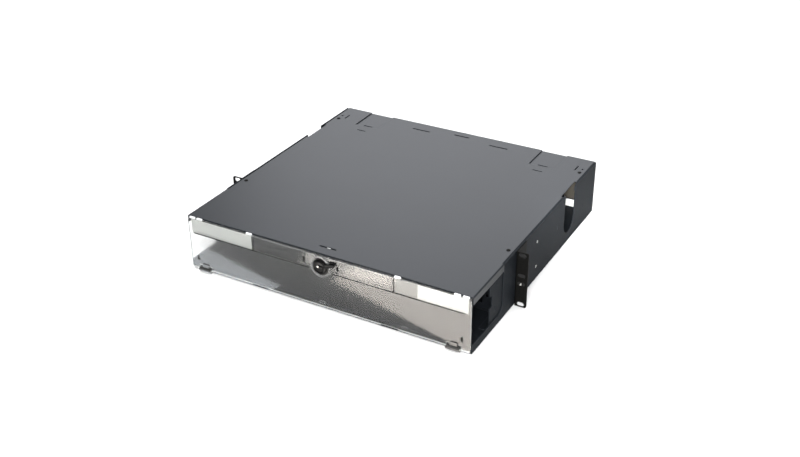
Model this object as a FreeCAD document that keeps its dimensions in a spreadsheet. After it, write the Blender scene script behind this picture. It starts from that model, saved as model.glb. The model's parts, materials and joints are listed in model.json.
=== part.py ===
import FreeCAD, Part
import math
import os
from types import SimpleNamespace

import Sketcher
from FreeCAD import Placement, Rotation, Vector

# Driving dimensions in millimetres. Y runs back from the front edge of the chassis, Z up from its underside.
DIMENSIONS = {
    # chassis
    "body_width": 447,
    "body_depth": 430,
    "body_height": 86,
    "wall_gauge": 1.5,
    "bend_radius": 0.8,
    "front_lip_height": 9,
    "rear_flange_width": 14,
    "front_opening_depth": 90,
    "front_sill": 14,
    "front_opening_radius": 14,
    "rear_opening_start": 304,
    "rear_opening_length": 40,
    "rear_sill": 17,
    "rear_opening_radius": 19.8,
    "wall_slot_width": 1.6,
    "wall_slot_length": 8,
    "middle_wall_slot_margin": 26.3,
    "middle_wall_slot_height": 47.5,
    "rear_wall_slot_margin": 38.3,
    "rear_wall_slot_height": 34,
    "rear_screw_inset": 8,
    # top cover
    "cover_gauge": 1.2,
    "cover_side_gap": 0.3,
    "flange_drop": 11,
    "cover_lip_setback": 4.6,
    "cover_lip_drop": 6.8,
    "cover_notch_depth": 6,
    "cover_notch_lead": 5.5,
    "cover_notch_length": 54,
    "recess_centre": 155,
    "recess_width": 42,
    "recess_length": 53.5,
    "recess_step": 1.5,
    "recess_slot_inset": 5,
    "tie_slot_length": 16,
    "tie_slot_width": 2,
    "tie_slot_pitch": 22,
    "tab_reach": 17,
    "tab_length": 18,
    "tab_setback": 46.5,
    "tab_screw_inset": 10,
    "front_tab_start": 115.5,
    "corner_slot_gap": 1.5,
    "spare_cover_hole_step": 12.2,
    "spare_cover_hole_radius": 1.7,
    "middle_slot_length": 26,
    "front_slot_setback": 16,
    "rear_slot_setback": 14,
    "lift_slot_length": 31,
    "lift_slot_centre": 69,
    "lift_slot_setback": 23.5,
    # side plates behind the front cable openings
    "entry_depth": 52,
    "side_plate_frame_gap": 3,
    "side_plate_top_gap": 4,
    "side_plate_foot": 14,
    "side_notch_depth": 7,
    "side_notch_low": 38,
    "side_notch_high": 56,
    "plate_slot_setback": 19,
    "plate_slot_low": 28,
    "plate_slot_high": 68,
    # rack ears
    "ear_face_width": 17.8,
    "ear_setback": 130,
    "ear_gauge": 1.6,
    "ear_leg_length": 30,
    "ear_top_drop": 0.8,
    "ear_corner_radius": 3,
    "rack_slot_inset": 8.75,
    "rack_hole_margin": 4.9,
    "rack_hole_pair": 12.7,
    "rack_slot_length": 10.8,
    "rack_slot_width": 6.4,
    "rack_slot_drop": 0.6,
    "ear_screw_setback": 15,
    "ear_screw_low": 22,
    "ear_screw_drop": 24,
    "spare_hole_setback": 57,
    "screw_recess": 1,
    "screw_radius": 2,
    "screw_head_radius": 4,
    "screw_head_height": 2.4,
    "screw_clearance": 0.2,
    "nut_radius": 4,
    "nut_height": 2,
    # adapter panel frame
    "frame_setback": 7,
    "frame_flange": 14,
    "frame_top_gap": 2,
    "frame_cover_gap": 1,
    "corner_relief": 1,
    "window_side_margin": 16.5,
    "window_post": 32,
    "window_height": 27,
    "window_row_pitch": 36,
    "window_hole_margin": 20,
    "window_hole_radius": 2.2,
    # fibre slack spools and tie brackets
    "spool_spread": 210,
    "spool_setback": 236,
    "spool_radius": 32,
    "spool_wall": 2.4,
    "spool_height": 30,
    "spool_floor": 2,
    "spool_rim": 9,
    "spool_finger_width": 16,
    "stud_height": 9,
    "bracket_spread": 330,
    "bracket_setback": 64,
    "bracket_length": 64,
    "bracket_height": 22,
    "bracket_foot": 16,
    "bracket_slot_height": 14.3,
    "bracket_slot_width": 4,
    # clear front door
    "door_side_inset": 2,
    "door_gauge": 2.5,
    "door_gap": 0.5,
    "door_tail": 1.2,
    "door_top_clearance": 2.8,
    "door_corner_radius": 3,
    "door_notch_inner": 90,
    "door_notch_length": 27,
    "door_notch_height": 2,
    "lug_width": 8.5,
    "lug_height": 2.4,
    "outer_lug_inset": 7.5,
    "second_lug_inset": 19.7,
    "inner_lug_step": 4,
    "snap_hole_inset": 12,
    "snap_hole_height": 20.8,
    "snap_hole_width": 3.2,
    "door_slot_spread": 53,
    "door_slot_length": 7.4,
    "door_slot_width": 2.6,
    "door_slot_rise": 4,
    "finger_ridge_spread": 254,
    "finger_ridge_height": 11,
    "finger_ridge_length": 8.5,
    "finger_ridge_width": 4,
    # label band at the top of the door
    "band_height": 23.2,
    "band_rib_start": 18,
    "label_inner": 112.5,
    "label_outer_inset": 4.5,
    "holder_gauge": 0.8,
    "holder_depth": 2.6,
    "holder_top_gap": 0.3,
    "label_gauge": 0.4,
    "label_gap": 0.2,
    "write_on_inner": 145,
    # hinges
    "hinge_axis_height": 4,
    "hinge_outer_inset": 13.5,
    "hinge_length": 20,
    "hinge_end_length": 4,
    "knuckle_radius": 2.9,
    "knuckle_gap": 0.4,
    "pin_radius": 1.5,
    "pin_clearance": 0.05,
    "hinge_side_gap": 0.3,
    "hinge_leaf_gauge": 1.2,
    "hinge_window_gap": 0.6,
    "hinge_window_rise": 2.9,
    "clip_gauge": 1.3,
    "clip_lap": 3,
    # latch
    "latch_drop": 16,
    "boss_radius": 15.5,
    "boss_wall": 1.6,
    "boss_depth": 2,
    "bush_wall": 2.25,
    "bush_flange_gap": 1.4,
    "bush_flange_depth": 1,
    "latch_nut_wall": 2.7,
    "latch_nut_height": 3,
    "spindle_radius": 3,
    "knob_radius": 10.8,
    "knob_length": 1.8,
    "knob_gap": 0.3,
    "thumb_bar_length": 19,
    "thumb_bar_width": 6.5,
    "thumb_bar_height": 2.2,
    "edge_chamfer": 0.5,
    "pawl_tip_gap": 1,
    "pawl_width": 6,
    "pawl_gauge": 2,
    "pawl_gap": 0.8,
    "pawl_tip_radius": 2.6,
    "pawl_screw_radius": 4.5,
}


class Size:
    """A length: its number, and the sheet expression that gives the same number in the document."""

    def __init__(self, value, text):
        self.value = value
        self.text = text

    def __add__(self, other):
        other = as_size(other)
        return Size(self.value + other.value, f"({self.text} + {other.text})")

    def __sub__(self, other):
        other = as_size(other)
        return Size(self.value - other.value, f"({self.text} - {other.text})")

    def __mul__(self, other):
        other = as_size(other)
        return Size(self.value * other.value, f"({self.text} * {other.text})")

    def __truediv__(self, other):
        other = as_size(other)
        return Size(self.value / other.value, f"({self.text} / {other.text})")

    def __neg__(self):
        return Size(-self.value, f"(0 - {self.text})")


def as_size(length):
    """A plain number as a Size, or a Size as it is."""
    return length if isinstance(length, Size) else Size(length, repr(float(length)))


doc = FreeCAD.newDocument("FibreEnclosure")
sheet = doc.addObject("Spreadsheet::Sheet", "Dims")
for row, (alias, number) in enumerate(DIMENSIONS.items(), start=1):
    sheet.set(f"A{row}", alias)
    sheet.set(f"B{row}", str(number))
    sheet.setAlias(f"B{row}", alias)
doc.recompute()

mm = SimpleNamespace(**{alias: Size(float(number), f"Dims.{alias}") for alias, number in DIMENSIONS.items()})
ZERO = as_size(0)

# A cut through a sheet runs past its faces by THROUGH, and past a free edge by OVERCUT.
THROUGH = as_size(1)
OVERCUT = as_size(3)
TOLERANCE = 0.01

# Shares of a screw head: the height of its straight rim, and the radius of its crown.
RIM_SHARE = 0.65
CROWN_SHARE = 0.78
# A cover screw's head as a share of an ear screw's.
LOW_HEAD_RADIUS_SHARE = 0.7
LOW_HEAD_HEIGHT_SHARE = 1 / 3

# Sides of the chassis: -1 is the left one seen from the front, +1 the right one.
SIDES = {"left": -1, "right": 1}
PLANE_ROLES = {"XY": "XY_Plane", "XZ": "XZ_Plane", "YZ": "YZ_Plane"}
PARTS = []


# Sketches, pads and pockets

def new_body(label):
    """A body whose origin lies on the front edge of the chassis, with the rack face at Y = 0."""
    body = doc.addObject("PartDesign::Body", "Body_" + label)
    body.Label = label
    body.AllowCompound = True
    body.setExpression("Placement.Base.y", "0 - Dims.ear_setback")
    PARTS.append(body)
    return body


def new_sketch(body, plane, position):
    """A sketch on one of the body's own origin planes, moved along the plane's world axis."""
    sketch = body.newObject("Sketcher::SketchObject", "Sketch")
    role = PLANE_ROLES[plane]
    sketch.AttachmentSupport = ([f for f in body.Origin.OriginFeatures if f.Role == role][0], [""])
    sketch.MapMode = "FlatFace"
    offset = -position if plane == "XZ" else position
    sketch.AttachmentOffset = Placement(Vector(0, 0, offset.value), Rotation())
    sketch.setExpression("AttachmentOffset.Base.z", offset.text)
    return sketch


def bind(sketch, kind, geometry, vertex, length):
    """One driving constraint: a point's distance from the sketch's origin along X or Y, or a radius."""
    if kind == "Radius":
        index = sketch.addConstraint(Sketcher.Constraint(kind, geometry, length.value))
    else:
        index = sketch.addConstraint(Sketcher.Constraint(kind, -1, 1, geometry, vertex, length.value))
    sketch.setExpression(f"Constraints[{index}]", length.text)


def toward(start, end, reach):
    """The point that lies reach from start on the way to end."""
    step = Vector(end) - Vector(start)
    step.normalize()
    return Vector(start) + step * reach


def add_outline(sketch, corners):
    """A closed outline of straight edges. A corner is (x, y), or (x, y, radius) where it is rounded."""
    corners = [tuple(as_size(item) for item in corner) for corner in corners]
    count = len(corners)
    points = [Vector(corner[0].value, corner[1].value, 0) for corner in corners]
    radii = [corner[2] if len(corner) == 3 else None for corner in corners]
    pulls = []
    for i in range(count):
        trim = 0.0
        if radii[i]:
            back = points[i - 1] - points[i]
            ahead = points[(i + 1) % count] - points[i]
            trim = radii[i].value / math.tan(back.getAngle(ahead) / 2)
        pulls.append(trim)
    edges = []
    for i in range(count):
        j = (i + 1) % count
        start = toward(points[i], points[j], pulls[i])
        end = toward(points[j], points[i], pulls[j])
        edges.append(sketch.addGeometry(Part.LineSegment(start, end), False))
    placed = [[False, False] for corner in corners]
    for i in range(count):
        j = (i + 1) % count
        for axis, level, kind in ((0, "Vertical", "DistanceX"), (1, "Horizontal", "DistanceY")):
            if corners[i][axis].text == corners[j][axis].text:
                sketch.addConstraint(Sketcher.Constraint(level, edges[i]))
                bind(sketch, kind, edges[i], 1, corners[i][axis])
                placed[i][axis] = True
                placed[j][axis] = True
    for i in range(count):
        before = edges[i - 1]
        after = edges[i]
        if radii[i]:
            add_corner_arc(sketch, before, after, points, i, radii[i])
            continue
        sketch.addConstraint(Sketcher.Constraint("Coincident", before, 2, after, 1))
        for axis, kind in ((0, "DistanceX"), (1, "DistanceY")):
            if not placed[i][axis]:
                bind(sketch, kind, after, 1, corners[i][axis])


def add_corner_arc(sketch, before, after, points, i, radius):
    """An arc that rounds corner i, tangent to the edges before and after it."""
    here = points[i]
    back = toward(here, points[i - 1], 1.0) - here
    ahead = toward(here, points[(i + 1) % len(points)], 1.0) - here
    half_angle = back.getAngle(ahead) / 2
    inward = back + ahead
    inward.normalize()
    centre = here + inward * (radius.value / math.sin(half_angle))
    first = here + back * (radius.value / math.tan(half_angle)) - centre
    second = here + ahead * (radius.value / math.tan(half_angle)) - centre
    left_turn = (back.cross(ahead)).z < 0
    start, end = (first, second) if left_turn else (second, first)
    start_angle = math.atan2(start.y, start.x)
    end_angle = math.atan2(end.y, end.x)
    circle = Part.Circle(centre, Vector(0, 0, 1), radius.value)
    arc = sketch.addGeometry(Part.ArcOfCircle(circle, start_angle, end_angle), False)
    entry, leave = (1, 2) if left_turn else (2, 1)
    sketch.addConstraint(Sketcher.Constraint("Tangent", before, 2, arc, entry))
    sketch.addConstraint(Sketcher.Constraint("Tangent", arc, leave, after, 1))
    bind(sketch, "Radius", arc, 0, radius)


def add_circle(sketch, x, y, radius):
    """A circle placed by its centre."""
    x, y, radius = as_size(x), as_size(y), as_size(radius)
    centre = Vector(x.value, y.value, 0)
    circle = sketch.addGeometry(Part.Circle(centre, Vector(0, 0, 1), radius.value), False)
    bind(sketch, "Radius", circle, 0, radius)
    bind(sketch, "DistanceX", circle, 3, x)
    bind(sketch, "DistanceY", circle, 3, y)


def add_slot(sketch, x, y, length, width, upright=False):
    """A slot with round ends, centred on (x, y). It lies along the sketch's X, or along its Y if upright."""
    x, y, length, width = (as_size(item) for item in (x, y, length, width))
    reach = (length - width) / 2
    half = width / 2
    ends = [(x, y - reach), (x, y + reach)] if upright else [(x - reach, y), (x + reach, y)]
    first, second = (Vector(end[0].value, end[1].value, 0) for end in ends)
    side = (second - first).cross(Vector(0, 0, 1))
    side.normalize()
    side = side * half.value
    turn = math.atan2(side.y, side.x)
    near = sketch.addGeometry(Part.LineSegment(first + side, second + side), False)
    circle = Part.Circle(second, Vector(0, 0, 1), half.value)
    cap = sketch.addGeometry(Part.ArcOfCircle(circle, turn, turn + math.pi), False)
    far = sketch.addGeometry(Part.LineSegment(second - side, first - side), False)
    circle = Part.Circle(first, Vector(0, 0, 1), half.value)
    tail = sketch.addGeometry(Part.ArcOfCircle(circle, turn + math.pi, turn + 2 * math.pi), False)
    for before, after in ((near, cap), (cap, far), (far, tail), (tail, near)):
        sketch.addConstraint(Sketcher.Constraint("Tangent", before, 2, after, 1))
    sketch.addConstraint(Sketcher.Constraint("Equal", cap, tail))
    bind(sketch, "Radius", cap, 0, half)
    for arc, end in ((tail, ends[0]), (cap, ends[1])):
        bind(sketch, "DistanceX", arc, 3, end[0])
        bind(sketch, "DistanceY", arc, 3, end[1])


def box_outline(x_low, x_high, y_low, y_high, radius=None):
    """The four corners of a rectangle, rounded where a radius is given."""
    corners = [(x_low, y_low), (x_high, y_low), (x_high, y_high), (x_low, y_high)]
    return [corner + (radius,) for corner in corners] if radius else corners


def pad(body, plane, start, end, draw):
    """Adds a prism between two positions on the axis across the plane. draw fills its sketch."""
    start, end = as_size(start), as_size(end)
    sketch = new_sketch(body, plane, end if plane == "XZ" else start)
    draw(sketch)
    feature = body.newObject("PartDesign::Pad", "Pad")
    feature.Profile = sketch
    feature.Length = (end - start).value
    feature.setExpression("Length", (end - start).text)
    doc.recompute()
    return feature


def pocket(body, plane, start, end, draw):
    """Cuts a prism between two positions on the axis across the plane, and checks that it cut something."""
    start, end = as_size(start), as_size(end)
    before = body.Shape.Volume
    sketch = new_sketch(body, plane, start if plane == "XZ" else end)
    draw(sketch)
    feature = body.newObject("PartDesign::Pocket", "Pocket")
    feature.Profile = sketch
    feature.Length = (end - start).value
    feature.setExpression("Length", (end - start).text)
    doc.recompute()
    if body.Shape.Volume > before - 1e-6:
        raise RuntimeError(f"a pocket in {body.Label} cuts nothing")
    return feature


def revolve(body, plane, axis, draw):
    """Turns an outline once round a sketch axis: H_Axis or V_Axis."""
    sketch = new_sketch(body, plane, ZERO)
    draw(sketch)
    feature = body.newObject("PartDesign::Revolution", "Revolution")
    feature.Profile = sketch
    feature.ReferenceAxis = (sketch, [axis])
    feature.Angle = 360
    doc.recompute()
    return feature


def round_edges(body, radius, choose):
    """Fillets the edges of the body that choose picks."""
    names = [f"Edge{i + 1}" for i, edge in enumerate(body.Tip.Shape.Edges) if choose(edge)]
    if not names:
        raise RuntimeError(f"no edge to round in {body.Label}")
    base = body.Tip
    feature = body.newObject("PartDesign::Fillet", "Fillet")
    feature.Base = (base, names)
    feature.Radius = radius.value
    feature.setExpression("Radius", radius.text)
    doc.recompute()
    return feature


# Places that several pieces share

HALF_WIDTH = mm.body_width / 2
WALL_INSIDE = HALF_WIDTH - mm.wall_gauge
COVER_UNDERSIDE = mm.body_height - mm.cover_gauge
COVER_INNER_EDGE = WALL_INSIDE - mm.cover_side_gap
COVER_STEP_Y = mm.front_opening_depth - mm.cover_side_gap
COVER_LIP_BACK = mm.cover_lip_setback + mm.cover_gauge
FLANGE_BOTTOM = mm.body_height - mm.flange_drop
REAR_OPENING_END = mm.rear_opening_start + mm.rear_opening_length
EAR_FRONT = mm.ear_setback - mm.ear_gauge
EAR_LEG_OUTSIDE = HALF_WIDTH + mm.ear_gauge
EAR_REACH = HALF_WIDTH + mm.ear_face_width
EAR_TOP = mm.body_height - mm.ear_top_drop
EAR_LEG_END = mm.ear_setback + mm.ear_leg_length
EAR_SCREW_Y = mm.ear_setback + mm.ear_screw_setback
EAR_SCREW_SEAT = EAR_LEG_OUTSIDE - mm.screw_recess
EAR_SCREW_HEIGHTS = (mm.ear_screw_low, mm.body_height - mm.ear_screw_drop)
RACK_SLOT_X = EAR_REACH - mm.rack_slot_inset
RACK_SLOT_MIDDLE = mm.body_height / 2 - mm.rack_slot_drop
RACK_SLOT_SPREADS = (mm.body_height - mm.rack_hole_margin * 2, mm.rack_hole_pair)
SPARE_HOLE_Y = EAR_SCREW_Y + mm.spare_hole_setback
SCREW_HOLE = mm.screw_radius + mm.screw_clearance
REAR_PLATE_FRONT = mm.body_depth - mm.wall_gauge
REAR_FLANGE_FRONT = REAR_PLATE_FRONT - mm.wall_gauge
TAB_CENTRE = mm.body_depth - mm.tab_setback
TAB_PLACES = (mm.front_tab_start, TAB_CENTRE - mm.tab_length / 2)
TAB_SCREW_X = HALF_WIDTH - mm.tab_screw_inset
CORNER_HOLE_Y = TAB_CENTRE + mm.spare_cover_hole_step
SIDE_PLATE_TOP = mm.body_height - mm.side_plate_top_gap
FRAME_FRONT = mm.front_opening_depth + mm.frame_setback
SIDE_PLATE_END = FRAME_FRONT - mm.side_plate_frame_gap
WINDOW_PITCH = (mm.body_width - mm.window_side_margin * 2) / 3
DOOR_BACK = -mm.door_gap
DOOR_FRONT = DOOR_BACK - mm.door_gauge
DOOR_TOP = mm.body_height - mm.door_top_clearance
DOOR_HALF = HALF_WIDTH - mm.door_side_inset
BAND_BOTTOM = DOOR_TOP - mm.band_height
LABEL_OUTER = DOOR_HALF - mm.label_outer_inset
HOLDER_BOTTOM = BAND_BOTTOM - mm.holder_gauge
HOLDER_TOP = DOOR_TOP - mm.holder_top_gap
HINGE_Y = -(mm.hinge_leaf_gauge + mm.knuckle_gap + mm.knuckle_radius)
HINGE_Z = mm.hinge_axis_height
HINGE_OUTER = DOOR_HALF - mm.hinge_outer_inset
HINGE_INNER = HINGE_OUTER - mm.hinge_length
HINGE_WINDOW_TOP = HINGE_Z + mm.knuckle_radius + mm.hinge_window_rise
CLIP_INNER = HINGE_INNER + mm.hinge_end_length + mm.hinge_side_gap
CLIP_OUTER = HINGE_OUTER - mm.hinge_end_length - mm.hinge_side_gap
PIN_HOLE = mm.pin_radius + mm.pin_clearance
DOOR_BOTTOM = HINGE_Z - mm.door_tail
LATCH_Z = DOOR_TOP - mm.latch_drop
BUSH_BORE = mm.spindle_radius + mm.pin_clearance
BUSH_RADIUS = BUSH_BORE + mm.bush_wall
KNOB_BACK = DOOR_FRONT - mm.bush_flange_depth - mm.knob_gap
PAWL_FRONT = COVER_LIP_BACK + mm.pawl_gap
PAWL_BACK = PAWL_FRONT + mm.pawl_gauge
PAWL_REACH = COVER_UNDERSIDE - LATCH_Z - mm.pawl_tip_gap


def span(sign, inner, outer):
    """The low and high X of a stretch between two distances from the middle, on one side of the chassis."""
    return (inner, outer) if sign > 0 else (-outer, -inner)


# Chassis

def make_base_pan():
    """Floor and two side walls bent from one sheet, with cable openings at both ends of each side."""
    body = new_body("base_pan")
    outer_bend = mm.bend_radius + mm.wall_gauge
    bends = [
        (-HALF_WIDTH, mm.body_height), (-HALF_WIDTH, ZERO, outer_bend), (HALF_WIDTH, ZERO, outer_bend),
        (HALF_WIDTH, mm.body_height), (WALL_INSIDE, mm.body_height),
        (WALL_INSIDE, mm.wall_gauge, mm.bend_radius),
        (-WALL_INSIDE, mm.wall_gauge, mm.bend_radius), (-WALL_INSIDE, mm.body_height)]
    pad(body, "XZ", ZERO, REAR_PLATE_FRONT, lambda sketch: add_outline(sketch, bends))

    # The front lip of the floor, and the flanges at the rear edge that the rear cover lies on.
    inside = WALL_INSIDE - mm.bend_radius
    lip = box_outline(-inside, inside, mm.wall_gauge / 2, mm.front_lip_height)
    pad(body, "XZ", ZERO, mm.wall_gauge, lambda sketch: add_outline(sketch, lip))
    rear_lip = box_outline(-inside, inside, mm.wall_gauge / 2, mm.rear_flange_width)
    pad(body, "XZ", REAR_FLANGE_FRONT, REAR_PLATE_FRONT, lambda sketch: add_outline(sketch, rear_lip))
    for sign in SIDES.values():
        low, high = span(sign, HALF_WIDTH - mm.rear_flange_width, HALF_WIDTH - mm.wall_gauge / 2)
        flange = box_outline(low, high, mm.wall_gauge / 2, COVER_UNDERSIDE - mm.flange_drop)
        pad(body, "XZ", REAR_FLANGE_FRONT, REAR_PLATE_FRONT, lambda sketch: add_outline(sketch, flange))

    # The tabs under the cover that its screws go into.
    for sign in SIDES.values():
        for start in TAB_PLACES:
            low, high = span(sign, HALF_WIDTH - mm.tab_reach, HALF_WIDTH - mm.wall_gauge / 2)
            tab = box_outline(low, high, start, start + mm.tab_length)
            pad(
                body, "XY", COVER_UNDERSIDE - mm.wall_gauge, COVER_UNDERSIDE,
                lambda sketch: add_outline(sketch, tab))

    def side_cuts(sketch):
        top = mm.body_height + OVERCUT
        add_outline(sketch, [
            (-OVERCUT, mm.front_sill), (mm.front_opening_depth, mm.front_sill, mm.front_opening_radius),
            (mm.front_opening_depth, top), (-OVERCUT, top)])
        add_outline(sketch, [
            (mm.rear_opening_start, mm.rear_sill, mm.rear_opening_radius),
            (REAR_OPENING_END, mm.rear_sill, mm.rear_opening_radius),
            (REAR_OPENING_END, top), (mm.rear_opening_start, top)])
        for height in EAR_SCREW_HEIGHTS:
            add_circle(sketch, EAR_SCREW_Y, height, SCREW_HOLE)
            add_circle(sketch, SPARE_HOLE_Y, height, SCREW_HOLE)
        wall_slots = [
            (mm.rear_opening_start - mm.middle_wall_slot_margin, mm.middle_wall_slot_height),
            (REAR_OPENING_END + mm.rear_wall_slot_margin, mm.rear_wall_slot_height)]
        for place, height in wall_slots:
            add_slot(sketch, place, height, mm.wall_slot_length, mm.wall_slot_width, upright=True)

    pocket(body, "YZ", -HALF_WIDTH - OVERCUT, HALF_WIDTH + OVERCUT, side_cuts)

    def tab_holes(sketch):
        for sign in SIDES.values():
            for start in TAB_PLACES:
                add_circle(sketch, TAB_SCREW_X * sign, start + mm.tab_length / 2, SCREW_HOLE)

    pocket(body, "XY", COVER_UNDERSIDE - mm.wall_gauge - THROUGH, mm.body_height, tab_holes)

    def rear_holes(sketch):
        for x, z in rear_screw_places():
            add_circle(sketch, x, z, SCREW_HOLE)

    pocket(body, "XZ", REAR_FLANGE_FRONT - THROUGH, REAR_PLATE_FRONT + THROUGH, rear_holes)
    return body


def rear_screw_places():
    """Where the rear cover's screws go: two in each side flange."""
    x = HALF_WIDTH - mm.rear_screw_inset
    return [(x * sign, height) for sign in SIDES.values() for height in EAR_SCREW_HEIGHTS]


def make_top_cover():
    """Flat cover with side flanges, a folded front edge, two lowered recesses at the rear, and its slots."""
    body = new_body("top_cover")
    outer_bend = mm.bend_radius + mm.cover_gauge

    def channel(half):
        inner = half - mm.cover_gauge
        return [
            (-half, FLANGE_BOTTOM), (-inner, FLANGE_BOTTOM), (-inner, COVER_UNDERSIDE, mm.bend_radius),
            (inner, COVER_UNDERSIDE, mm.bend_radius), (inner, FLANGE_BOTTOM), (half, FLANGE_BOTTOM),
            (half, mm.body_height, outer_bend), (-half, mm.body_height, outer_bend)]

    pad(body, "XZ", ZERO, COVER_STEP_Y, lambda sketch: add_outline(sketch, channel(HALF_WIDTH)))
    rear_channel = channel(COVER_INNER_EDGE)
    pad(body, "XZ", COVER_STEP_Y, mm.body_depth, lambda sketch: add_outline(sketch, rear_channel))

    # The front edge is folded back under the sheet and then turned down. The latch catches behind this lip.
    hem_half = HALF_WIDTH - outer_bend - mm.cover_side_gap
    inside_sheet = COVER_UNDERSIDE + mm.cover_gauge / 2
    hem = box_outline(-hem_half, hem_half, COVER_UNDERSIDE - mm.cover_gauge, inside_sheet)
    pad(body, "XZ", ZERO, COVER_LIP_BACK, lambda sketch: add_outline(sketch, hem))
    lip = box_outline(-hem_half, hem_half, COVER_UNDERSIDE - mm.cover_lip_drop, inside_sheet)
    pad(body, "XZ", mm.cover_lip_setback, COVER_LIP_BACK, lambda sketch: add_outline(sketch, lip))

    # Each recess is a step down in the sheet, so the plate under it is padded first and the top is then cut.
    half_recess = mm.recess_width / 2
    for sign in SIDES.values():
        centre = mm.recess_centre * sign
        recess_front = mm.body_depth - mm.recess_length
        below = box_outline(
            centre - half_recess - mm.cover_gauge, centre + half_recess + mm.cover_gauge,
            recess_front - mm.cover_gauge, mm.body_depth)
        pad(
            body, "XY", COVER_UNDERSIDE - mm.recess_step, COVER_UNDERSIDE,
            lambda sketch: add_outline(sketch, below))
        lowered = box_outline(
            centre - half_recess, centre + half_recess, recess_front, mm.body_depth + OVERCUT)
        pocket(
            body, "XY", mm.body_height - mm.recess_step, mm.body_height + OVERCUT,
            lambda sketch: add_outline(sketch, lowered))

    def flange_gaps(sketch):
        add_outline(sketch, box_outline(
            mm.rear_opening_start, REAR_OPENING_END, FLANGE_BOTTOM - OVERCUT, mm.body_height + OVERCUT))

    for sign in SIDES.values():
        low, high = span(sign, COVER_INNER_EDGE - outer_bend - mm.cover_side_gap, HALF_WIDTH + OVERCUT)
        pocket(body, "YZ", low, high, flange_gaps)
        for start in TAB_PLACES:
            gap = box_outline(
                start - mm.cover_side_gap, start + mm.tab_length + mm.cover_side_gap,
                FLANGE_BOTTOM - OVERCUT, COVER_UNDERSIDE)
            pocket(body, "YZ", low, high, lambda sketch: add_outline(sketch, gap))

    def cut_through(draw):
        pocket(body, "XY", COVER_UNDERSIDE - mm.recess_step - THROUGH, mm.body_height + OVERCUT, draw)

    def side_notches(sketch):
        start = mm.rear_opening_start - mm.cover_notch_lead
        for sign in SIDES.values():
            low, high = span(sign, HALF_WIDTH - mm.cover_notch_depth, HALF_WIDTH + OVERCUT)
            add_outline(sketch, box_outline(low, high, start, start + mm.cover_notch_length))

    def screw_holes(sketch):
        for sign in SIDES.values():
            for start in TAB_PLACES:
                add_circle(sketch, TAB_SCREW_X * sign, start + mm.tab_length / 2, SCREW_HOLE)
            add_circle(sketch, TAB_SCREW_X * sign, CORNER_HOLE_Y, mm.spare_cover_hole_radius)

    def corner_slots(sketch):
        for sign in SIDES.values():
            x = (HALF_WIDTH - mm.tab_reach - mm.corner_slot_gap - mm.tie_slot_width / 2) * sign
            add_slot(sketch, x, CORNER_HOLE_Y, mm.tie_slot_length, mm.tie_slot_width, upright=True)

    def recess_slots(sketch):
        inside = mm.body_depth - mm.recess_length + mm.recess_slot_inset
        for sign in SIDES.values():
            for y in (inside, inside - mm.tie_slot_pitch):
                add_slot(sketch, mm.recess_centre * sign, y, mm.tie_slot_length, mm.tie_slot_width)

    def middle_slots(sketch):
        for sign in SIDES.values():
            y = mm.body_depth - mm.lift_slot_setback
            add_slot(sketch, mm.lift_slot_centre * sign, y, mm.lift_slot_length, mm.tie_slot_width)
        for y in (mm.front_slot_setback, mm.body_depth - mm.rear_slot_setback):
            add_slot(sketch, ZERO, y, mm.middle_slot_length, mm.tie_slot_width)

    for draw in (side_notches, screw_holes, corner_slots, recess_slots, middle_slots):
        cut_through(draw)
    return body


def make_rear_cover():
    """Flat plate that closes the rear, with two rows of slots for cable ties."""
    body = new_body("rear_cover")
    half = COVER_INNER_EDGE - mm.cover_gauge - mm.cover_side_gap
    top = COVER_UNDERSIDE - mm.recess_step - mm.cover_side_gap
    plate = box_outline(-half, half, mm.wall_gauge, top, mm.ear_corner_radius)
    pad(body, "XZ", REAR_PLATE_FRONT, mm.body_depth, lambda sketch: add_outline(sketch, plate))

    def holes(sketch):
        for x, z in rear_screw_places():
            add_circle(sketch, x, z, SCREW_HOLE)
        for sign in SIDES.values():
            for x in (mm.lift_slot_centre, mm.recess_centre):
                add_slot(sketch, x * sign, mm.ear_screw_low, mm.tie_slot_length, mm.tie_slot_width)

    pocket(body, "XZ", REAR_PLATE_FRONT - THROUGH, mm.body_depth + THROUGH, holes)
    # The top edge turns forward as a stiffening flange.
    flange_half = half - mm.ear_corner_radius
    flange = box_outline(-flange_half, flange_half, top - mm.wall_gauge, top)
    pad(
        body, "XZ", REAR_PLATE_FRONT - mm.rear_flange_width / 2, REAR_PLATE_FRONT + mm.wall_gauge / 2,
        lambda sketch: add_outline(sketch, flange))
    return body


def make_side_plate(side, sign):
    """Angle inside the wall that narrows the front cable opening, with a notched front edge and tie slots."""
    body = new_body(f"side_plate_{side}")
    inner = WALL_INSIDE - mm.wall_gauge
    reach = inner - mm.side_plate_foot
    floor = mm.wall_gauge
    angle = [
        (reach * sign, floor), (WALL_INSIDE * sign, floor, mm.bend_radius + mm.wall_gauge),
        (WALL_INSIDE * sign, SIDE_PLATE_TOP), (inner * sign, SIDE_PLATE_TOP),
        (inner * sign, floor + mm.wall_gauge, mm.bend_radius), (reach * sign, floor + mm.wall_gauge)]
    pad(body, "XZ", mm.entry_depth, SIDE_PLATE_END, lambda sketch: add_outline(sketch, angle))
    low, high = span(sign, inner - THROUGH, WALL_INSIDE + THROUGH)

    def cuts(sketch):
        add_outline(sketch, box_outline(
            mm.entry_depth - OVERCUT, mm.entry_depth + mm.side_notch_depth,
            mm.side_notch_low, mm.side_notch_high))
        add_outline(sketch, box_outline(
            COVER_STEP_Y - mm.cover_side_gap, SIDE_PLATE_END + OVERCUT, FLANGE_BOTTOM - mm.cover_side_gap,
            SIDE_PLATE_TOP + OVERCUT))
        for height in (mm.plate_slot_low, mm.plate_slot_high):
            y = mm.entry_depth + mm.plate_slot_setback
            add_slot(sketch, y, height, mm.wall_slot_length, mm.wall_slot_width, upright=True)

    pocket(body, "YZ", low, high, cuts)
    return body


# Rack ears and their screws

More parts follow.
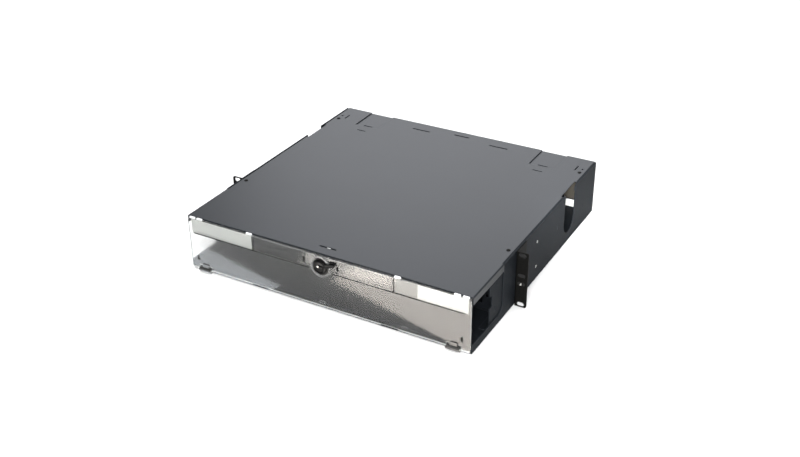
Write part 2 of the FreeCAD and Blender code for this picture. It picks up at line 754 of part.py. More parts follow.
def make_rack_ear(side, sign):
    """Angle bracket: a face with four rack slots, and a leg that runs back from it along the side wall."""
    body = new_body(f"rack_ear_{side}")
    angle = [
        (HALF_WIDTH * sign, EAR_FRONT, mm.bend_radius + mm.ear_gauge), (EAR_REACH * sign, EAR_FRONT),
        (EAR_REACH * sign, mm.ear_setback), (EAR_LEG_OUTSIDE * sign, mm.ear_setback, mm.bend_radius),
        (EAR_LEG_OUTSIDE * sign, EAR_LEG_END), (HALF_WIDTH * sign, EAR_LEG_END)]
    pad(body, "XY", ZERO, EAR_TOP, lambda sketch: add_outline(sketch, angle))

    def rack_slots(sketch):
        for spread in RACK_SLOT_SPREADS:
            for end in (-1, 1):
                height = RACK_SLOT_MIDDLE + spread / 2 * end
                add_slot(sketch, RACK_SLOT_X * sign, height, mm.rack_slot_length, mm.rack_slot_width)

    pocket(body, "XZ", EAR_FRONT - THROUGH, mm.ear_setback + THROUGH, rack_slots)
    low, high = span(sign, HALF_WIDTH - THROUGH, EAR_LEG_OUTSIDE + THROUGH)

    def leg_holes(sketch):
        for height in EAR_SCREW_HEIGHTS:
            add_circle(sketch, EAR_SCREW_Y, height, SCREW_HOLE)

    pocket(body, "YZ", low, high, leg_holes)

    # The screw heads are sunk in the leg, so that the ear passes between the rails of the rack.
    def head_recesses(sketch):
        for height in EAR_SCREW_HEIGHTS:
            add_circle(sketch, EAR_SCREW_Y, height, mm.screw_head_radius + mm.screw_clearance)

    low, high = span(sign, EAR_SCREW_SEAT, EAR_LEG_OUTSIDE + THROUGH)
    pocket(body, "YZ", low, high, head_recesses)

    def outer_corners(edge):
        ends = [vertex.Point for vertex in edge.Vertexes]
        at_tip = all(abs(abs(end.x) - EAR_REACH.value) < TOLERANCE for end in ends)
        return len(ends) == 2 and at_tip and abs(ends[0].z - ends[1].z) < TOLERANCE

    round_edges(body, mm.ear_corner_radius, outer_corners)
    return body


def pan_head_screws(label, places, along, head_seat, head_radius, head_height, shank_length):
    """A group of pan-head screws.

    along is the axis X, Y or Z that they lie on, head_seat the place on that axis where their heads rest,
    and the sign in each place says which way the head points.
    """
    body = new_body(label)
    planes = {"X": "YZ", "Y": "XZ", "Z": "XY"}
    plane = planes[along]

    def add_round(start, end, first, second, radius):
        low, high = (start, end) if start.value < end.value else (end, start)
        pad(body, plane, low, high, lambda sketch: add_circle(sketch, first, second, radius))

    for first, second, sign in places:
        seat = head_seat * sign
        head_end = seat + head_height * sign
        shank_end = seat - shank_length * sign
        dome = seat + head_height * RIM_SHARE * sign
        add_round(seat, dome, first, second, head_radius)
        add_round(dome, head_end, first, second, head_radius * CROWN_SHARE)
        add_round(shank_end, seat, first, second, mm.screw_radius)
    return body


def hexagon(sketch, x, y, radius):
    """A hexagon with its points at left and right of (x, y)."""
    x, y, radius = as_size(x), as_size(y), as_size(radius)
    rise = radius * (math.sqrt(3) / 2)
    add_outline(sketch, [
        (x - radius, y), (x - radius / 2, y - rise), (x + radius / 2, y - rise),
        (x + radius, y), (x + radius / 2, y + rise), (x - radius / 2, y + rise)])


def make_ear_screws(side, sign):
    """The two flat screws that hold an ear to its wall."""
    places = [(EAR_SCREW_Y, height, sign) for height in EAR_SCREW_HEIGHTS]
    shank = mm.ear_gauge - mm.screw_recess + mm.wall_gauge + mm.nut_height
    return pan_head_screws(
        f"ear_screws_{side}", places, "X", EAR_SCREW_SEAT, mm.screw_head_radius, mm.screw_recess, shank)


def make_clinch_nuts():
    """Round clinch nuts pressed into the walls behind the ear screws."""
    body = new_body("clinch_nuts")
    for sign in SIDES.values():
        low, high = span(sign, WALL_INSIDE - mm.nut_height, WALL_INSIDE)

        def rings(sketch):
            for height in EAR_SCREW_HEIGHTS:
                hexagon(sketch, EAR_SCREW_Y, height, mm.nut_radius)
                add_circle(sketch, EAR_SCREW_Y, height, SCREW_HOLE)

        pad(body, "YZ", low, high, rings)
    return body


def make_cover_screws():
    """Four low screws through the top cover into the tabs of the base."""
    places = []
    for sign in SIDES.values():
        for start in TAB_PLACES:
            places.append((TAB_SCREW_X * sign, start + mm.tab_length / 2, 1))
    return pan_head_screws(
        "cover_screws", places, "Z", mm.body_height, mm.screw_head_radius * LOW_HEAD_RADIUS_SHARE,
        mm.screw_head_height * LOW_HEAD_HEIGHT_SHARE, mm.cover_gauge + mm.wall_gauge + mm.nut_height)


def make_rear_screws():
    """Four screws through the rear cover into the side flanges."""
    places = [(x, z, 1) for x, z in rear_screw_places()]
    return pan_head_screws(
        "rear_cover_screws", places, "Y", mm.body_depth, mm.screw_head_radius, mm.screw_head_height,
        mm.wall_gauge * 2 + mm.nut_height)


# Inside the chassis

def make_adapter_frame():
    """Upright panel across the chassis, with flanges all round and six windows for adapter panels."""
    body = new_body("adapter_frame")
    half = WALL_INSIDE - mm.cover_side_gap
    top = COVER_UNDERSIDE - mm.frame_top_gap
    shoulder = FLANGE_BOTTOM - mm.frame_cover_gap
    inner = COVER_INNER_EDGE - mm.cover_gauge - mm.frame_cover_gap
    plate = [
        (-half, mm.wall_gauge, mm.wall_gauge), (half, mm.wall_gauge, mm.wall_gauge), (half, shoulder),
        (inner, shoulder), (inner, top), (-inner, top), (-inner, shoulder), (-half, shoulder)]
    back = FRAME_FRONT + mm.wall_gauge
    pad(body, "XZ", FRAME_FRONT, back, lambda sketch: add_outline(sketch, plate))
    foot_half = half - mm.wall_gauge - mm.corner_relief
    foot = box_outline(-foot_half, foot_half, mm.wall_gauge, mm.wall_gauge * 2)
    pad(body, "XZ", FRAME_FRONT, back + mm.frame_flange, lambda sketch: add_outline(sketch, foot))
    lintel = box_outline(-inner, inner, top - mm.wall_gauge, top)
    pad(body, "XZ", FRAME_FRONT, back + mm.frame_flange / 2, lambda sketch: add_outline(sketch, lintel))
    for sign in SIDES.values():
        low, high = span(sign, half - mm.wall_gauge, half)
        flange = box_outline(low, high, mm.wall_gauge * 2 + mm.corner_relief, shoulder)
        pad(body, "XZ", FRAME_FRONT, back + mm.frame_flange, lambda sketch: add_outline(sketch, flange))

    def windows(sketch):
        half_width = (WINDOW_PITCH - mm.window_post) / 2
        half_height = mm.window_height / 2
        hole_reach = (WINDOW_PITCH - mm.window_hole_margin) / 2
        for column in (-1, 0, 1):
            for row in (-1, 1):
                x = WINDOW_PITCH * column
                z = (mm.body_height + mm.window_row_pitch * row) / 2
                add_outline(sketch, box_outline(
                    x - half_width, x + half_width, z - half_height, z + half_height))
                for end in (-1, 1):
                    add_circle(sketch, x + hole_reach * end, z, mm.window_hole_radius)

    pocket(body, "XZ", FRAME_FRONT - THROUGH, back + THROUGH, windows)
    return body


def make_slack_spool(side, sign):
    """Spool for spare fibre: a floor disc, a round wall at the fibre's bend radius, and four fingers."""
    body = new_body(f"slack_spool_{side}")
    x = mm.spool_spread / 2 * sign
    y = mm.spool_setback
    bottom = mm.wall_gauge
    top = bottom + mm.spool_height
    rim = mm.spool_radius + mm.spool_rim
    pad(body, "XY", bottom, bottom + mm.spool_floor, lambda sketch: add_circle(sketch, x, y, rim))

    def ring(sketch):
        add_circle(sketch, x, y, mm.spool_radius)
        add_circle(sketch, x, y, mm.spool_radius - mm.spool_wall)

    pad(body, "XY", bottom, top, ring)

    def fingers(sketch):
        half = mm.spool_finger_width / 2
        root = mm.spool_radius - mm.spool_wall / 2
        corner = mm.ear_corner_radius
        add_outline(sketch, [
            (x + root, y - half), (x + rim, y - half, corner),
            (x + rim, y + half, corner), (x + root, y + half)])
        add_outline(sketch, [
            (x - rim, y - half, corner), (x - root, y - half),
            (x - root, y + half), (x - rim, y + half, corner)])
        add_outline(sketch, [
            (x - half, y + root), (x + half, y + root),
            (x + half, y + rim, corner), (x - half, y + rim, corner)])
        add_outline(sketch, [
            (x - half, y - rim, corner), (x + half, y - rim, corner),
            (x + half, y - root), (x - half, y - root)])

    pad(body, "XY", top - mm.spool_floor, top, fingers)
    pocket(
        body, "XY", bottom - THROUGH, bottom + mm.spool_floor + THROUGH,
        lambda sketch: add_circle(sketch, x, y, SCREW_HOLE))
    return body


def make_spool_studs():
    """Studs that stand on the floor, one through each spool."""
    body = new_body("spool_studs")

    def studs(sketch):
        for sign in SIDES.values():
            add_circle(sketch, mm.spool_spread / 2 * sign, mm.spool_setback, mm.screw_radius)

    pad(body, "XY", mm.wall_gauge, mm.wall_gauge + mm.stud_height, studs)
    return body


def make_spool_nuts():
    """Hexagon nuts that hold the spools down."""
    body = new_body("spool_nuts")
    seat = mm.wall_gauge + mm.spool_floor

    def nuts(sketch):
        for sign in SIDES.values():
            x = mm.spool_spread / 2 * sign
            hexagon(sketch, x, mm.spool_setback, mm.nut_radius)
            add_circle(sketch, x, mm.spool_setback, SCREW_HOLE)

    pad(body, "XY", seat, seat + mm.nut_height, nuts)
    return body


def make_tie_bracket(side, sign):
    """Low angle on the floor near the rear cable opening, with slots that cable ties pass through."""
    body = new_body(f"tie_bracket_{side}")
    x = mm.bracket_spread / 2 * sign
    y = mm.body_depth - mm.bracket_setback
    half = mm.bracket_length / 2
    bottom = mm.wall_gauge
    foot = box_outline(x - half, x + half, y, y + mm.bracket_foot, mm.ear_corner_radius)
    pad(body, "XY", bottom, bottom + mm.wall_gauge, lambda sketch: add_outline(sketch, foot))
    wall = box_outline(x - half, x + half, bottom, bottom + mm.bracket_height, mm.bend_radius)
    pad(body, "XZ", y, y + mm.wall_gauge, lambda sketch: add_outline(sketch, wall))

    def slots(sketch):
        for step in (-1, 0, 1):
            add_slot(
                sketch, x + mm.bracket_length / 3 * step, bottom + mm.bracket_slot_height, mm.tie_slot_length,
                mm.bracket_slot_width)

    pocket(body, "XZ", y - THROUGH, y + mm.wall_gauge + THROUGH, slots)
    return body


# Front door

def make_door_panel():
    """Clear drop-down door with its latch boss, top lugs, snap holes and hinge cut-outs moulded in."""
    body = new_body("door_panel")
    notch_outer = mm.door_notch_inner + mm.door_notch_length
    notch_top = DOOR_BOTTOM + mm.door_notch_height
    window_low = HINGE_INNER - mm.hinge_window_gap
    window_high = HINGE_OUTER + mm.hinge_window_gap
    right_edge = [
        (mm.door_notch_inner, DOOR_BOTTOM), (mm.door_notch_inner, notch_top), (notch_outer, notch_top),
        (notch_outer, DOOR_BOTTOM), (window_low, DOOR_BOTTOM), (window_low, HINGE_WINDOW_TOP),
        (window_high, HINGE_WINDOW_TOP), (window_high, DOOR_BOTTOM),
        (DOOR_HALF, DOOR_BOTTOM, mm.door_corner_radius), (DOOR_HALF, DOOR_TOP, mm.door_corner_radius)]
    left_edge = [(-corner[0],) + corner[1:] for corner in reversed(right_edge)]
    pad(body, "XZ", DOOR_FRONT, DOOR_BACK, lambda sketch: add_outline(sketch, right_edge + left_edge))

    def lugs(sketch):
        half = mm.lug_width / 2
        centres = (
            mm.label_inner + mm.inner_lug_step, DOOR_HALF - mm.second_lug_inset,
            DOOR_HALF - mm.outer_lug_inset)
        for centre in centres:
            for sign in SIDES.values():
                low, high = span(sign, centre - half, centre + half)
                add_outline(sketch, box_outline(
                    low, high, DOOR_TOP - mm.lug_height, DOOR_TOP + mm.lug_height))

    pad(body, "XZ", DOOR_FRONT, DOOR_BACK, lugs)

    def boss(sketch):
        add_circle(sketch, ZERO, LATCH_Z, mm.boss_radius)
        add_circle(sketch, ZERO, LATCH_Z, mm.boss_radius - mm.boss_wall)

    pad(body, "XZ", DOOR_FRONT - mm.boss_depth, DOOR_FRONT, boss)

    def ridges(sketch):
        for step in (-1, 0, 1):
            add_slot(
                sketch, mm.finger_ridge_spread / 2 * step, mm.finger_ridge_height, mm.finger_ridge_length,
                mm.finger_ridge_width)

    pad(body, "XZ", DOOR_FRONT - mm.holder_gauge, DOOR_FRONT, ridges)

    def ribs(sketch):
        rib_end = mm.label_inner - mm.holder_gauge - mm.label_gap
        for sign in SIDES.values():
            low, high = span(sign, mm.band_rib_start, rib_end)
            add_outline(sketch, box_outline(low, high, HOLDER_BOTTOM, BAND_BOTTOM))

    pad(body, "XZ", DOOR_BACK, DOOR_BACK + mm.holder_gauge, ribs)

    def cuts(sketch):
        add_circle(sketch, ZERO, LATCH_Z, BUSH_RADIUS + mm.screw_clearance)
        for sign in SIDES.values():
            add_slot(
                sketch, mm.door_slot_spread / 2 * sign, LATCH_Z + mm.door_slot_rise, mm.door_slot_length,
                mm.door_slot_width, upright=True)
            add_slot(
                sketch, (DOOR_HALF - mm.snap_hole_inset) * sign, mm.snap_hole_height, mm.door_slot_length,
                mm.snap_hole_width, upright=True)

    pocket(body, "XZ", DOOR_FRONT - THROUGH, DOOR_BACK + THROUGH, cuts)
    return body


def make_label_holder(side, sign):
    """Clear channel behind the door that a printed label slides into, closed at its inner end."""
    body = new_body(f"label_holder_{side}")
    back = DOOR_BACK + mm.holder_depth
    gauge = mm.holder_gauge
    low, high = span(sign, mm.label_inner, LABEL_OUTER)
    channel = [
        (DOOR_BACK, HOLDER_BOTTOM), (back, HOLDER_BOTTOM), (back, HOLDER_TOP), (DOOR_BACK, HOLDER_TOP),
        (DOOR_BACK, HOLDER_TOP - gauge), (back - gauge, HOLDER_TOP - gauge),
        (back - gauge, BAND_BOTTOM), (DOOR_BACK, BAND_BOTTOM)]
    pad(body, "YZ", low, high, lambda sketch: add_outline(sketch, channel))
    low, high = span(sign, mm.label_inner - gauge, mm.label_inner)
    end_wall = box_outline(DOOR_BACK, back, HOLDER_BOTTOM, HOLDER_TOP)
    pad(body, "YZ", low, high, lambda sketch: add_outline(sketch, end_wall))
    return body


def make_label(label, sign, inner, outer):
    """Label card that stands in a holder, just behind the door."""
    body = new_body(label)
    play = mm.label_gap / 2
    low, high = span(sign, inner + play, outer - play)
    card = box_outline(low, high, BAND_BOTTOM + play, HOLDER_TOP - mm.holder_gauge - play)
    front = DOOR_BACK + mm.label_gap
    pad(body, "XZ", front, front + mm.label_gauge, lambda sketch: add_outline(sketch, card))
    return body


# Hinges

def make_hinge_leaf(side, sign):
    """Fixed half of a hinge: a plate on the front lip of the floor with a knuckle at each end."""
    body = new_body(f"hinge_leaf_{side}")
    low, high = span(sign, HINGE_INNER, HINGE_OUTER)
    bottom = HINGE_Z - mm.knuckle_radius
    plate = box_outline(-mm.hinge_leaf_gauge, ZERO, bottom, mm.front_lip_height)
    pad(body, "YZ", low, high, lambda sketch: add_outline(sketch, plate))
    web = box_outline(HINGE_Y, -mm.hinge_leaf_gauge / 2, bottom, HINGE_Z + mm.pin_radius)
    for start in (low, high - mm.hinge_end_length):
        end = start + mm.hinge_end_length
        pad(body, "YZ", start, end, lambda sketch: add_circle(sketch, HINGE_Y, HINGE_Z, mm.knuckle_radius))
        pad(body, "YZ", start, end, lambda sketch: add_outline(sketch, web))
    cut_pin_hole(body, low, high)
    return body


def cut_pin_hole(body, low, high):
    """The bore that a hinge pin runs in."""
    pocket(
        body, "YZ", low - THROUGH, high + THROUGH,
        lambda sketch: add_circle(sketch, HINGE_Y, HINGE_Z, PIN_HOLE))


def make_hinge_pin(side, sign):
    """Straight pin through the three knuckles."""
    body = new_body(f"hinge_pin_{side}")
    low, high = span(sign, HINGE_INNER - mm.hinge_side_gap, HINGE_OUTER + mm.hinge_side_gap)
    pad(body, "YZ", low, high, lambda sketch: add_circle(sketch, HINGE_Y, HINGE_Z, mm.pin_radius))
    return body


def make_hinge_clip(side, sign):
    """Moving half of a hinge: the middle knuckle, and a leg that laps the door's front above the cut-out."""
    body = new_body(f"hinge_clip_{side}")
    low, high = span(sign, CLIP_INNER, CLIP_OUTER)
    pad(body, "YZ", low, high, lambda sketch: add_circle(sketch, HINGE_Y, HINGE_Z, mm.knuckle_radius))
    leg = box_outline(DOOR_FRONT - mm.clip_gauge, DOOR_FRONT, HINGE_Z, HINGE_WINDOW_TOP + mm.clip_lap)
    pad(body, "YZ", low, high, lambda sketch: add_outline(sketch, leg))
    cut_pin_hole(body, low, high)
    return body


# Latch

def place_on_latch_axis(body):
    """Moves a body that was turned about Y up to the latch."""
    body.Placement = Placement(Vector(0, -mm.ear_setback.value, LATCH_Z.value), Rotation())
    body.setExpression("Placement.Base.z", LATCH_Z.text)
    doc.recompute()


def make_latch_bush():
    """Flanged bush in the door that the spindle turns in."""
    body = new_body("latch_bush")
    nut_end = DOOR_BACK + mm.latch_nut_height
    flange_front = DOOR_FRONT - mm.bush_flange_depth
    flange_radius = mm.boss_radius - mm.boss_wall - mm.bush_flange_gap
    chamfer = mm.edge_chamfer
    revolve(body, "XY", "V_Axis", lambda sketch: add_outline(sketch, [
        (BUSH_BORE, flange_front), (flange_radius - chamfer, flange_front),
        (flange_radius, flange_front + chamfer), (flange_radius, DOOR_FRONT),
        (BUSH_RADIUS, DOOR_FRONT), (BUSH_RADIUS, nut_end), (BUSH_BORE, nut_end)]))
    place_on_latch_axis(body)
    return body


def make_latch_nut():
    """Hexagon nut that clamps the bush to the back of the door."""
    body = new_body("latch_nut")

    def ring(sketch):
        hexagon(sketch, ZERO, LATCH_Z, BUSH_RADIUS + mm.latch_nut_wall)
        add_circle(sketch, ZERO, LATCH_Z, BUSH_RADIUS + mm.screw_clearance / 2)

    pad(body, "XZ", DOOR_BACK, DOOR_BACK + mm.latch_nut_height, ring)
    return body


def make_latch_knob():
    """Round knob with a raised thumb bar across its face."""
    body = new_body("latch_knob")
    front = KNOB_BACK - mm.knob_length
    radius = mm.knob_radius
    chamfer = mm.edge_chamfer
    revolve(body, "XY", "V_Axis", lambda sketch: add_outline(sketch, [
        (ZERO, front), (radius - chamfer, front), (radius, front + chamfer), (radius, KNOB_BACK),
        (ZERO, KNOB_BACK)]))
    place_on_latch_axis(body)
    pad(
        body, "XZ", front - mm.thumb_bar_height, front,
        lambda sketch: add_slot(sketch, ZERO, ZERO, mm.thumb_bar_length, mm.thumb_bar_width))
    return body


def make_latch_spindle():
    """Spindle from the knob through the bush to the pawl."""
    body = new_body("latch_spindle")
    pad(body, "XZ", KNOB_BACK, PAWL_BACK, lambda sketch: add_circle(sketch, ZERO, LATCH_Z, mm.spindle_radius))
    return body


def make_latch_pawl():
    """Arm that turns up behind the lip of the cover. It points to the right while the latch is open."""
    body = new_body("latch_pawl")
    half = mm.pawl_width / 2
    rounding = mm.pawl_tip_radius
    arm = [
        (-half, LATCH_Z - half, rounding), (PAWL_REACH, LATCH_Z - half, rounding),
        (PAWL_REACH, LATCH_Z + half, rounding), (-half, LATCH_Z + half, rounding)]
    pad(body, "XZ", PAWL_FRONT, PAWL_BACK, lambda sketch: add_outline(sketch, arm))
    eye = mm.pawl_screw_radius
    pad(body, "XZ", PAWL_FRONT, PAWL_BACK, lambda sketch: add_circle(sketch, ZERO, LATCH_Z, eye))
    pocket(
        body, "XZ", PAWL_FRONT - THROUGH, PAWL_BACK + THROUGH,
        lambda sketch: add_circle(sketch, ZERO, LATCH_Z, BUSH_BORE))
    return body


def make_pawl_screw():
    """Low screw head that holds the pawl on the end of the spindle."""
    body = new_body("pawl_screw")
    pad(
        body, "XZ", PAWL_BACK, PAWL_BACK + mm.screw_head_height / 2,
        lambda sketch: add_circle(sketch, ZERO, LATCH_Z, mm.pawl_screw_radius))
    return body


def check_document():
    """Stops if any object failed, or if a sub-part has no valid shape."""
    doc.recompute()
    for item in doc.Objects:
        if "Invalid" in item.State or "Error" in item.State:
            raise RuntimeError(f"{item.Label} is {item.State}")
    for item in PARTS:
        if item.Shape.isNull() or not item.Shape.isValid() or not item.Shape.Solids:
            raise RuntimeError(f"{item.Label} has no valid solid")


def build():
    """Makes every sub-part and writes one STEP file for each."""
    make_base_pan()
    make_top_cover()
    make_rear_cover()
    make_adapter_frame()
    make_clinch_nuts()
    make_cover_screws()
    make_rear_screws()
    make_spool_studs()
    make_spool_nuts()
    make_door_panel()
    for side, sign in SIDES.items():
        make_side_plate(side, sign)
        make_rack_ear(side, sign)
        make_ear_screws(side, sign)
        make_slack_spool(side, sign)
        make_tie_bracket(side, sign)
        make_label_holder(side, sign)
        make_hinge_leaf(side, sign)
        make_hinge_pin(side, sign)
        make_hinge_clip(side, sign)
    make_label("label_left", SIDES["left"], mm.label_inner, LABEL_OUTER)
    make_label("label_right", SIDES["right"], mm.label_inner, mm.write_on_inner)
    make_label("write_on_label", SIDES["right"], mm.write_on_inner, LABEL_OUTER)
    make_latch_bush()
    make_latch_nut()
    make_latch_knob()
    make_latch_spindle()
    make_latch_pawl()
    make_pawl_screw()
    check_document()
    os.makedirs("parts", exist_ok=True)
    for item in PARTS:
        item.Shape.exportStep(os.path.join("parts", item.Label + ".step"))


build()
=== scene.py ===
import json
import math

import bpy
import numpy as np
from mathutils import Matrix, Quaternion, Vector


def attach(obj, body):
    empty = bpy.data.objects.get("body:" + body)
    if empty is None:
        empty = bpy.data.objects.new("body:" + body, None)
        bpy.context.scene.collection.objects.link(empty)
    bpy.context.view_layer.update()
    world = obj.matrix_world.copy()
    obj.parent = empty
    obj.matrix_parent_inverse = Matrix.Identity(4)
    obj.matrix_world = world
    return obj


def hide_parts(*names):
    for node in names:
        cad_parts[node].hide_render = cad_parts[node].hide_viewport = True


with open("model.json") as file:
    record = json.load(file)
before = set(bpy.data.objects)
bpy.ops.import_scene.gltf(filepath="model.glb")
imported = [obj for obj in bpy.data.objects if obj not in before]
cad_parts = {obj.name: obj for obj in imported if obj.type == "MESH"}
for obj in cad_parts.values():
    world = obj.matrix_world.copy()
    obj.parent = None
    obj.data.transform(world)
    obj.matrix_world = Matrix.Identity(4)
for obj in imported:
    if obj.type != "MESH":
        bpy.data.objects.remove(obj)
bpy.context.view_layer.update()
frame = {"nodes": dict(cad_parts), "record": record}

MM = 0.001


# Colours and nodes

def linear(hex_colour):
    """An sRGB hex colour as linear values, opaque: each channel undoes the sRGB curve."""
    channels = [int(hex_colour[i:i + 2], 16) / 255 for i in (1, 3, 5)]
    return tuple(c / 12.92 if c <= 0.04045 else ((c + 0.055) / 1.055) ** 2.4 for c in channels) + (1.0,)


def pattern_scale(size_mm):
    """The scale that gives a noise pattern features of about this size in millimetres: one over the size."""
    return 1 / (size_mm * MM)


def add_node(tree, kind, links=None, values=None, **properties):
    """Adds a node. links and values fill its sockets by name or number, properties set the node itself."""
    node = tree.nodes.new(kind)
    for name, value in properties.items():
        setattr(node, name, value)
    for socket, value in (values or {}).items():
        node.inputs[socket].default_value = value
    for socket, (source, output) in (links or {}).items():
        tree.links.new(source.outputs[output], node.inputs[socket])
    return node


def new_material(name, **constants):
    """A material with a Principled shader, its constant sockets, and a link to the object's coordinates."""
    material = bpy.data.materials.new(name)
    material.use_nodes = True
    tree = material.node_tree
    tree.nodes.clear()
    shader = add_node(tree, "ShaderNodeBsdfPrincipled")
    for socket, value in constants.items():
        shader.inputs[socket.replace("_", " ")].default_value = value
    add_node(tree, "ShaderNodeOutputMaterial", {"Surface": (shader, "BSDF")})
    return material, tree, shader, {"Vector": (add_node(tree, "ShaderNodeTexCoord"), "Object")}


def feed(tree, shader, **sources):
    """Links (node, output) pairs to the shader's sockets."""
    for socket, (source, output) in sources.items():
        tree.links.new(source.outputs[output], shader.inputs[socket.replace("_", " ")])


# Materials

def powder_coat(name, dark, light, worn_and_highlit, smoothest, roughest, gloss):
    """Polyester powder baked on folded steel: a dull skin whose orange peel of about 1.4 mm breaks up light.

    The colour drifts a little over the sheet, and fine grit makes the sheen uneven. The edges of the folds
    are painted lighter, both as rubbed paint and as a painted highlight along them.
    """
    material, tree, shader, place = new_material(name, IOR=1.45, Specular_IOR_Level=gloss)
    peel = add_node(tree, "ShaderNodeTexNoise", place, {"Scale": pattern_scale(1.4), "Detail": 2.0})
    grit = add_node(tree, "ShaderNodeTexNoise", place, {"Scale": pattern_scale(0.5), "Detail": 3.0})
    drift = add_node(tree, "ShaderNodeTexNoise", place, {"Scale": pattern_scale(70), "Detail": 5.0})
    shade = add_node(
        tree, "ShaderNodeMix", {"Factor": (drift, "Fac")}, {6: linear(dark), 7: linear(light)},
        data_type="RGBA")
    fold = add_node(tree, "ShaderNodeBevel", values={"Radius": 0.8 * MM}, samples=6)
    facing = add_node(tree, "ShaderNodeNewGeometry")
    turned_away = add_node(
        tree, "ShaderNodeVectorMath", {0: (fold, "Normal"), 1: (facing, "True Normal")},
        operation="DOT_PRODUCT")
    edge = add_node(
        tree, "ShaderNodeMapRange", {"Value": (turned_away, "Value")},
        {"From Min": 1.0, "From Max": 0.86, "To Min": 0.0, "To Max": 0.75})
    # Painted highlight and wear: near the fold edges the colour turns towards the worn colour.
    rubbed_and_highlit = add_node(
        tree, "ShaderNodeMath", {0: (edge, "Result"), 1: (grit, "Fac")},
        operation="MULTIPLY", use_clamp=True)
    colour = add_node(
        tree, "ShaderNodeMix", {"Factor": (rubbed_and_highlit, "Value"), 6: (shade, 2)}, {7: linear(worn_and_highlit)},
        data_type="RGBA")
    sheen = add_node(
        tree, "ShaderNodeMapRange", {"Value": (grit, "Fac")},
        {"From Min": 0.3, "From Max": 0.7, "To Min": smoothest, "To Max": roughest})
    skin = add_node(
        tree, "ShaderNodeBump", {"Height": (peel, "Fac"), "Normal": (fold, "Normal")},
        {"Strength": 0.35, "Distance": 0.03 * MM})
    relief = add_node(
        tree, "ShaderNodeBump", {"Height": (grit, "Fac"), "Normal": (skin, "Normal")},
        {"Strength": 0.25, "Distance": 0.012 * MM})
    feed(tree, shader, Base_Color=(colour, 2), Roughness=(sheen, "Result"), Normal=(relief, "Normal"))
    return material


def zinc_plate(name, cool, warm):
    """Bright zinc on small steel parts: a clean metal with a faint yellow and blue bloom and tumbling marks.

    The marks are drawn about 0.4 mm wide, coarser than the real ones, so that they show.
    """
    material, tree, shader, place = new_material(name, Metallic=1.0)
    bloom = add_node(tree, "ShaderNodeTexNoise", place, {"Scale": pattern_scale(5), "Detail": 2.0})
    marks = add_node(tree, "ShaderNodeTexNoise", place, {"Scale": pattern_scale(0.4), "Detail": 4.0})
    colour = add_node(
        tree, "ShaderNodeMix", {"Factor": (bloom, "Fac")}, {6: linear(cool), 7: linear(warm)},
        data_type="RGBA")
    sheen = add_node(tree, "ShaderNodeMapRange", {"Value": (marks, "Fac")}, {"To Min": 0.18, "To Max": 0.42})
    relief = add_node(
        tree, "ShaderNodeBump", {"Height": (marks, "Fac")}, {"Strength": 0.3, "Distance": 0.01 * MM})
    feed(tree, shader, Base_Color=(colour, 2), Roughness=(sheen, "Result"), Normal=(relief, "Normal"))
    return material


def moulded_plastic(name, dark, light, smoothest, roughest, grain_mm, gloss):
    """ABS from a steel mould: an even fine grain softens its highlights, and flow marks vary its colour.

    The grain is drawn coarser than the real one, so that it shows.
    """
    material, tree, shader, place = new_material(name, IOR=1.5, Specular_IOR_Level=gloss)
    grain = add_node(tree, "ShaderNodeTexNoise", place, {"Scale": pattern_scale(grain_mm), "Detail": 2.0})
    flow = add_node(tree, "ShaderNodeTexNoise", place, {"Scale": pattern_scale(12), "Detail": 2.0})
    colour = add_node(
        tree, "ShaderNodeMix", {"Factor": (flow, "Fac")}, {6: linear(dark), 7: linear(light)},
        data_type="RGBA")
    sheen = add_node(
        tree, "ShaderNodeMapRange", {"Value": (grain, "Fac")}, {"To Min": smoothest, "To Max": roughest})
    fold = add_node(tree, "ShaderNodeBevel", values={"Radius": 0.3 * MM}, samples=4)
    relief = add_node(
        tree, "ShaderNodeBump", {"Height": (grain, "Fac"), "Normal": (fold, "Normal")},
        {"Strength": 0.3, "Distance": 0.015 * MM})
    feed(tree, shader, Base_Color=(colour, 2), Roughness=(sheen, "Result"), Normal=(relief, "Normal"))
    return material


# Heights in millimetres over which the door's white foot band ends and its white lug band begins: painted
# highlight.
HIGHLIT_FOOT_ENDS = (4.6, 5.0)
HIGHLIT_LUGS_BEGIN = (83.2, 83.7)


